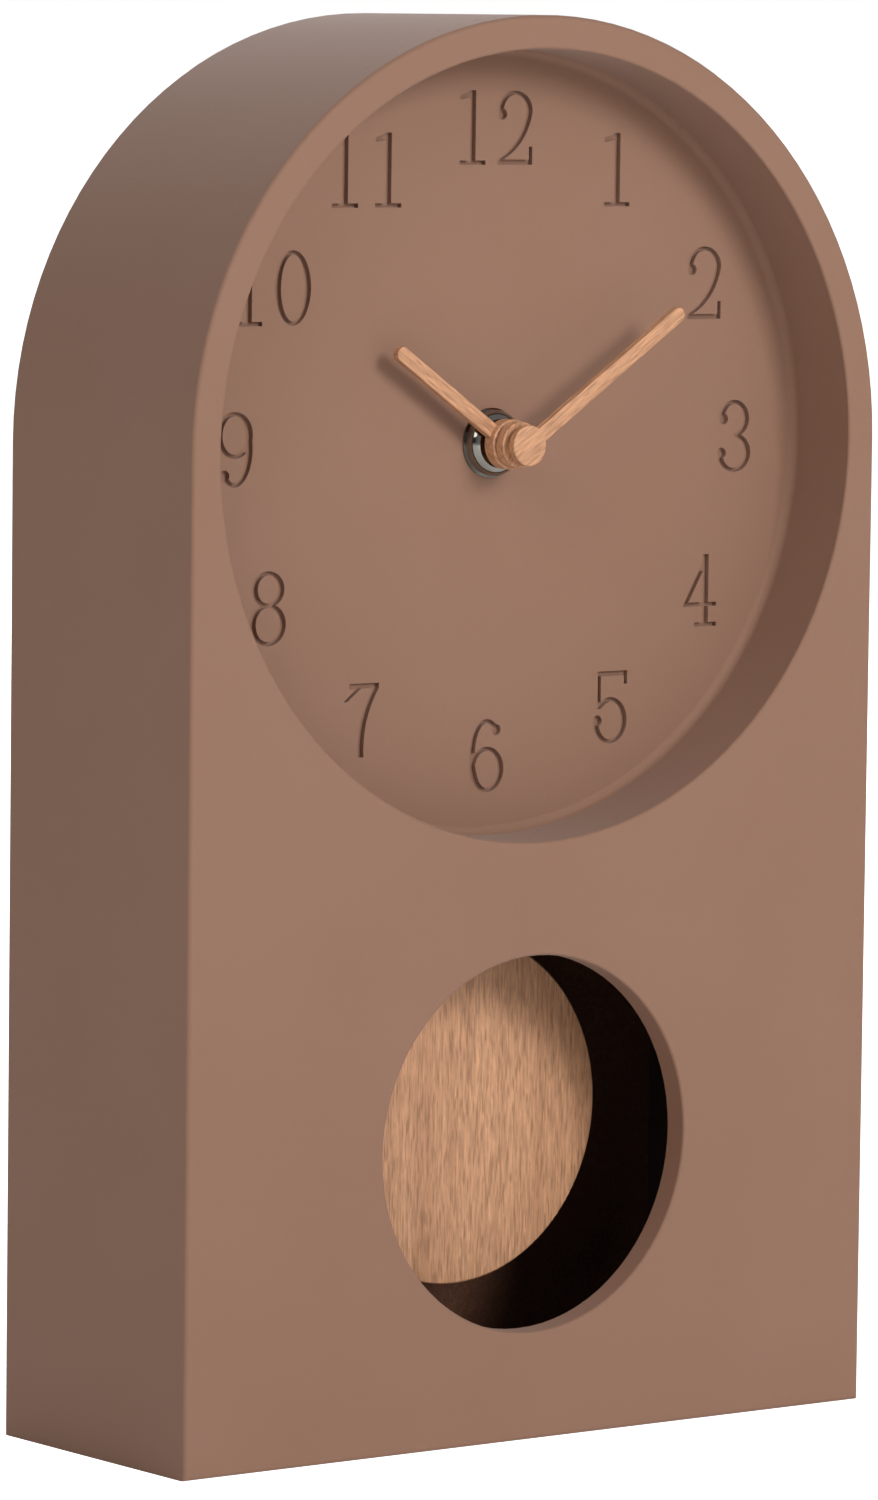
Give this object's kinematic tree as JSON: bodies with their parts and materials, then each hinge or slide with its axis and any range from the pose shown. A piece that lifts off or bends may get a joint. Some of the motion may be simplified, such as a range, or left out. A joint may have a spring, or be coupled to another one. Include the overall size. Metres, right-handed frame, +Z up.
{
  "type": "desk pendulum clock",
  "caption": "Arch-topped desk clock with a sunk round dial, engraved numerals, wooden hands and a disc pendulum that swings behind a round window.",
  "frame": {"origin": "middle of the base, on the surface that the clock stands on", "axes": "+Z up, +X to the right seen from the front, +Y to the back"},
  "size_m": [0.18, 0.066, 0.3],
  "materials": {
    "clay_lacquer": "matte clay-brown lacquer sprayed on fine board",
    "stained_board": "hardboard, stained dark brown, smooth side out",
    "oak": "oak, sanded and oiled",
    "black_abs": "moulded black ABS, fine spark texture",
    "acetal": "moulded natural acetal",
    "chrome": "polished nickel-chrome plate",
    "brass": "turned brass",
    "steel": "bright drawn steel",
    "rubber": "moulded black rubber",
    "cell_jacket": "printed shrink sleeve on a steel can",
    "copper_winding": "enamelled copper wire",
    "circuit_green": "solder-masked glass-epoxy board",
    "chip_epoxy": "moulded black epoxy",
    "magnet": "sintered ferrite"
  },
  "bodies": {
    "case": {"front_panel": "clay_lacquer", "case_shell": "clay_lacquer", "dial_cup": "clay_lacquer", "rear_panel": "stained_board", "rear_panel_screws": "steel", "mounting_bushing": "brass", "rubber_washer": "rubber", "mounting_washer": "chrome", "mounting_nut": "chrome", "movement_front_shell": "black_abs", "movement_rear_shell": "black_abs", "shell_screws": "steel", "train_posts": "steel", "motor_stator": "steel", "motor_core": "steel", "motor_coil": "copper_winding", "circuit_board": "circuit_green", "quartz_crystal": "steel", "control_chip": "chip_epoxy", "pendulum_coil": "copper_winding", "battery_cell": "cell_jacket", "positive_contact": "steel", "negative_contact": "steel", "pivot_pin": "steel"},
    "minute": {"minute_shaft": "brass", "minute_collet": "brass", "minute_collar": "oak", "minute_hand": "oak"},
    "hour": {"hour_wheel": "acetal", "hour_collet": "brass", "hour_hand": "oak"},
    "motion": {"motion_wheel": "acetal", "setting_knob": "black_abs"},
    "centre": {"centre_wheel": "acetal"},
    "third": {"third_wheel": "acetal"},
    "seconds": {"seconds_wheel": "acetal"},
    "intermediate": {"intermediate_wheel": "acetal"},
    "rotor": {"rotor_pinion": "acetal", "rotor_magnet": "magnet"},
    "pendulum": {"pendulum_hanger": "acetal", "hanger_magnet": "magnet", "pendulum_rod": "steel", "bob_core": "stained_board", "bob_veneer": "oak", "bob_screws": "steel"}
  },
  "joints": [
    {"name": "pendulum_swing", "type": "hinge", "parent": "case", "child": "pendulum", "pos_m": [0, 0.0026, 0.181], "axis": [0, 1, 0], "range_deg": [-8, 8]},
    {"name": "minute_turn", "type": "hinge", "parent": "case", "child": "minute", "pos_m": [0, 0, 0.21], "axis": [0, 1, 0], "continuous": true},
    {"name": "hour_turn", "type": "hinge", "parent": "case", "child": "hour", "pos_m": [0, 0, 0.21], "axis": [0, 1, 0], "continuous": true},
    {"name": "motion_turn", "type": "hinge", "parent": "case", "child": "motion", "pos_m": [-0.01, 0, 0.21], "axis": [0, 1, 0], "continuous": true},
    {"name": "rotor_turn", "type": "hinge", "parent": "case", "child": "rotor", "pos_m": [0.01222, 0, 0.21445], "axis": [0, 1, 0], "continuous": true},
    {"name": "intermediate_turn", "type": "hinge", "parent": "case", "child": "intermediate", "pos_m": [0.00658, 0, 0.21239], "axis": [0, 1, 0], "continuous": true},
    {"name": "seconds_turn", "type": "hinge", "parent": "case", "child": "seconds", "pos_m": [0, 0, 0.21], "axis": [0, 1, 0], "continuous": true},
    {"name": "third_turn", "type": "hinge", "parent": "case", "child": "third", "pos_m": [0.0045, 0, 0.20221], "axis": [0, 1, 0], "continuous": true},
    {"name": "centre_turn", "type": "hinge", "parent": "case", "child": "centre", "pos_m": [0, 0, 0.21], "axis": [0, 1, 0], "continuous": true}
  ],
  "couplings": [
    {"joint": "hour_turn", "follows": "minute_turn", "ratio": 0.083333},
    {"joint": "motion_turn", "follows": "minute_turn", "ratio": -0.33333},
    {"joint": "intermediate_turn", "follows": "rotor_turn", "ratio": -0.2},
    {"joint": "seconds_turn", "follows": "rotor_turn", "ratio": 0.033333},
    {"joint": "third_turn", "follows": "rotor_turn", "ratio": -0.0044444},
    {"joint": "centre_turn", "follows": "rotor_turn", "ratio": 0.00055556}
  ]
}
